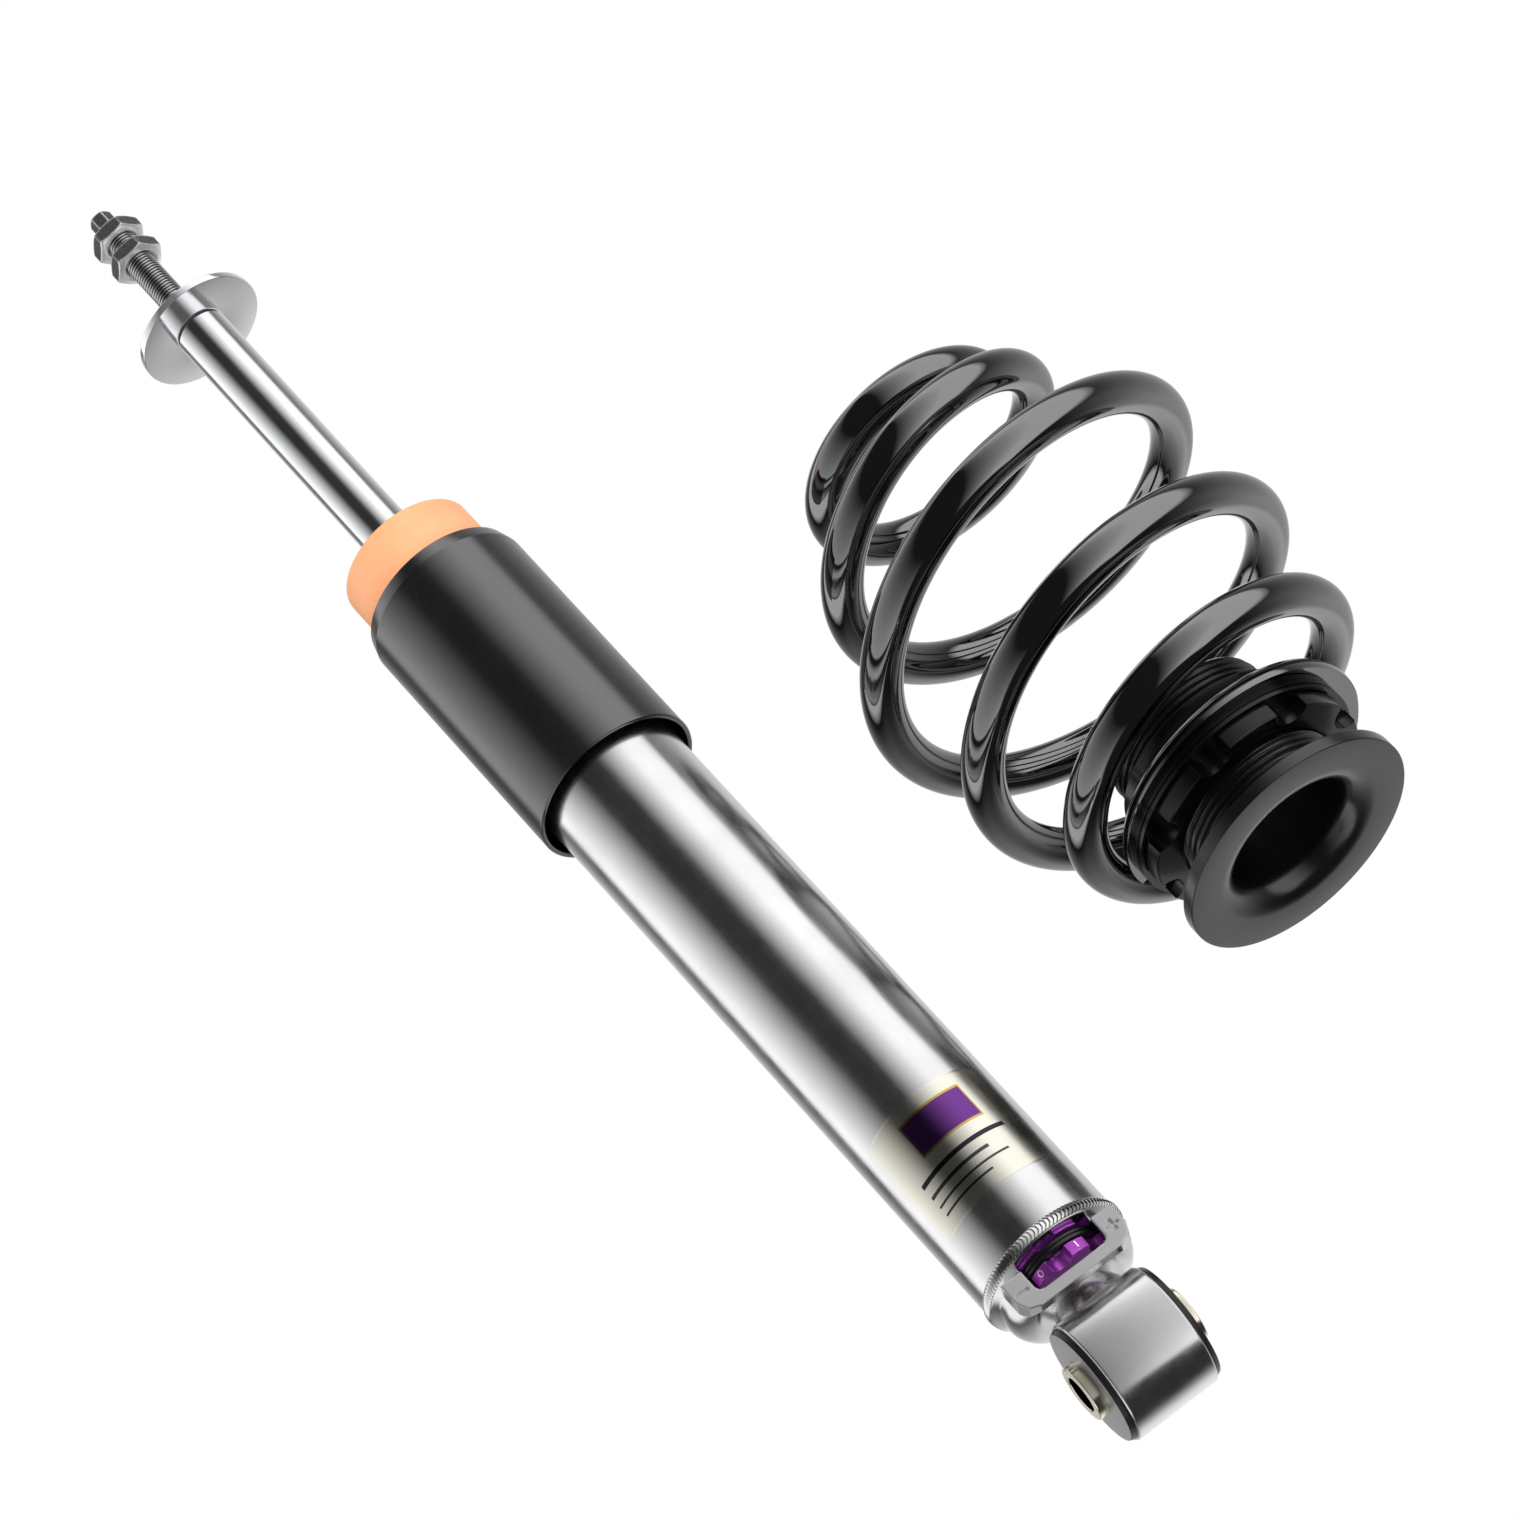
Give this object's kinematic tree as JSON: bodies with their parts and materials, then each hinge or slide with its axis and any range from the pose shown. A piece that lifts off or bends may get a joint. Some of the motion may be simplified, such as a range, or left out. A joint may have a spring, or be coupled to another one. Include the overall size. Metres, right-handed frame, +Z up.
{
  "type": "coilover damper and spring set",
  "caption": "Telescopic damper with an adjuster window and threaded top pin, beside a barrel coil spring on a height-adjustable threaded perch.",
  "frame": {"origin": "centre of the lower eye bore, on the damper axis", "axes": "+Z up along the damper axis to the threaded pin, +X along the eye bore towards the spring unit, the adjuster window faces -Y"},
  "size_m": [0.2494, 0.1494, 0.597],
  "materials": {
    "satin_steel": "satin",
    "weld_steel": "rippled",
    "polished_steel": "polished",
    "hard_chrome": "polished",
    "nut_steel": "zinc plated",
    "hardened_steel": "ground",
    "zinc_yellow": "zinc plated, pale gold",
    "turned_aluminium": "turned",
    "anodised_purple": "anodised",
    "guide_bronze": "sintered",
    "label_foil": "printed foil",
    "rubber_black": "matt",
    "seal_rubber": "semi-gloss",
    "sliding_band": "smooth",
    "foam_orange": "fine-pored foam",
    "sleeve_plastic": "satin",
    "perch_black": "satin",
    "ring_black": "satin",
    "spring_coat": "gloss powder coat"
  },
  "bodies": {
    "damper_body": {"eye_ring": "satin_steel", "eye_bush": "rubber_black", "eye_weld": "weld_steel", "base_housing": "satin_steel", "base_weld": "weld_steel", "body_tube": "polished_steel", "label_plate": "label_foil", "detent_ball": "hardened_steel", "detent_spring": "hardened_steel", "base_plug": "turned_aluminium", "plug_o_ring": "seal_rubber", "base_valve_body": "hardened_steel", "base_valve_shims": "hardened_steel", "inner_cylinder": "hardened_steel", "rod_guide": "turned_aluminium", "guide_bush": "guide_bronze", "guide_o_ring": "seal_rubber", "rod_seal": "seal_rubber", "tube_cap": "hardened_steel"},
    "bolt_sleeve": {"eye_sleeve": "zinc_yellow"},
    "dial": {"compression_dial": "anodised_purple", "dial_seal": "seal_rubber", "compression_needle": "hardened_steel"},
    "rod": {"piston_rod": "hard_chrome", "piston": "hardened_steel", "piston_band": "sliding_band", "compression_shims": "hardened_steel", "rebound_shims": "hardened_steel", "piston_nut": "hardened_steel", "rebound_stop": "hardened_steel", "top_washer": "polished_steel", "lower_nut": "nut_steel", "upper_nut": "nut_steel"},
    "adjuster": {"rebound_adjuster": "nut_steel"},
    "boot": {"bump_stop": "foam_orange", "dust_sleeve": "sleeve_plastic"},
    "perch": {"perch_base": "perch_black"},
    "spring": {"coil_spring": "spring_coat"},
    "ring": {"adjuster_ring": "ring_black"}
  },
  "joints": [
    {"name": "rod_slide", "type": "slide", "parent": "damper_body", "child": "rod", "axis": [0, 0, 1], "range_m": [-0.11, 0]},
    {"name": "rebound_turn", "type": "hinge", "parent": "rod", "child": "adjuster", "pos_m": [0, 0, 0.572], "axis": [0, 0, 1], "range_deg": [0, 720]},
    {"name": "boot_slide", "type": "slide", "parent": "damper_body", "child": "boot", "axis": [0, 0, 1], "range_m": [0, 0.01]},
    {"name": "bush_twist", "type": "hinge", "parent": "damper_body", "child": "bolt_sleeve", "pos_m": [0, 0, 0], "axis": [1, 0, 0], "range_deg": [-15, 15]},
    {"name": "compression_turn", "type": "hinge", "parent": "damper_body", "child": "dial", "pos_m": [0, -0.005, 0.034], "axis": [0, 0, 1], "range_deg": [0, 320]},
    {"name": "unit_spacing", "type": "slide", "parent": "damper_body", "child": "perch", "axis": [1, 0, 0], "range_m": [0, 0.15]},
    {"name": "ring_lift", "type": "slide", "parent": "perch", "child": "spring", "axis": [0, 0, 1], "range_m": [-0.01, 0.025]},
    {"name": "ring_turn", "type": "hinge", "parent": "spring", "child": "ring", "pos_m": [0.14687, 0, 0.135], "axis": [0, 0, 1], "range_deg": [-1450, 3620]}
  ],
  "couplings": [
    {"joint": "ring_turn", "follows": "ring_lift", "rad_per_m": 2513.3}
  ]
}
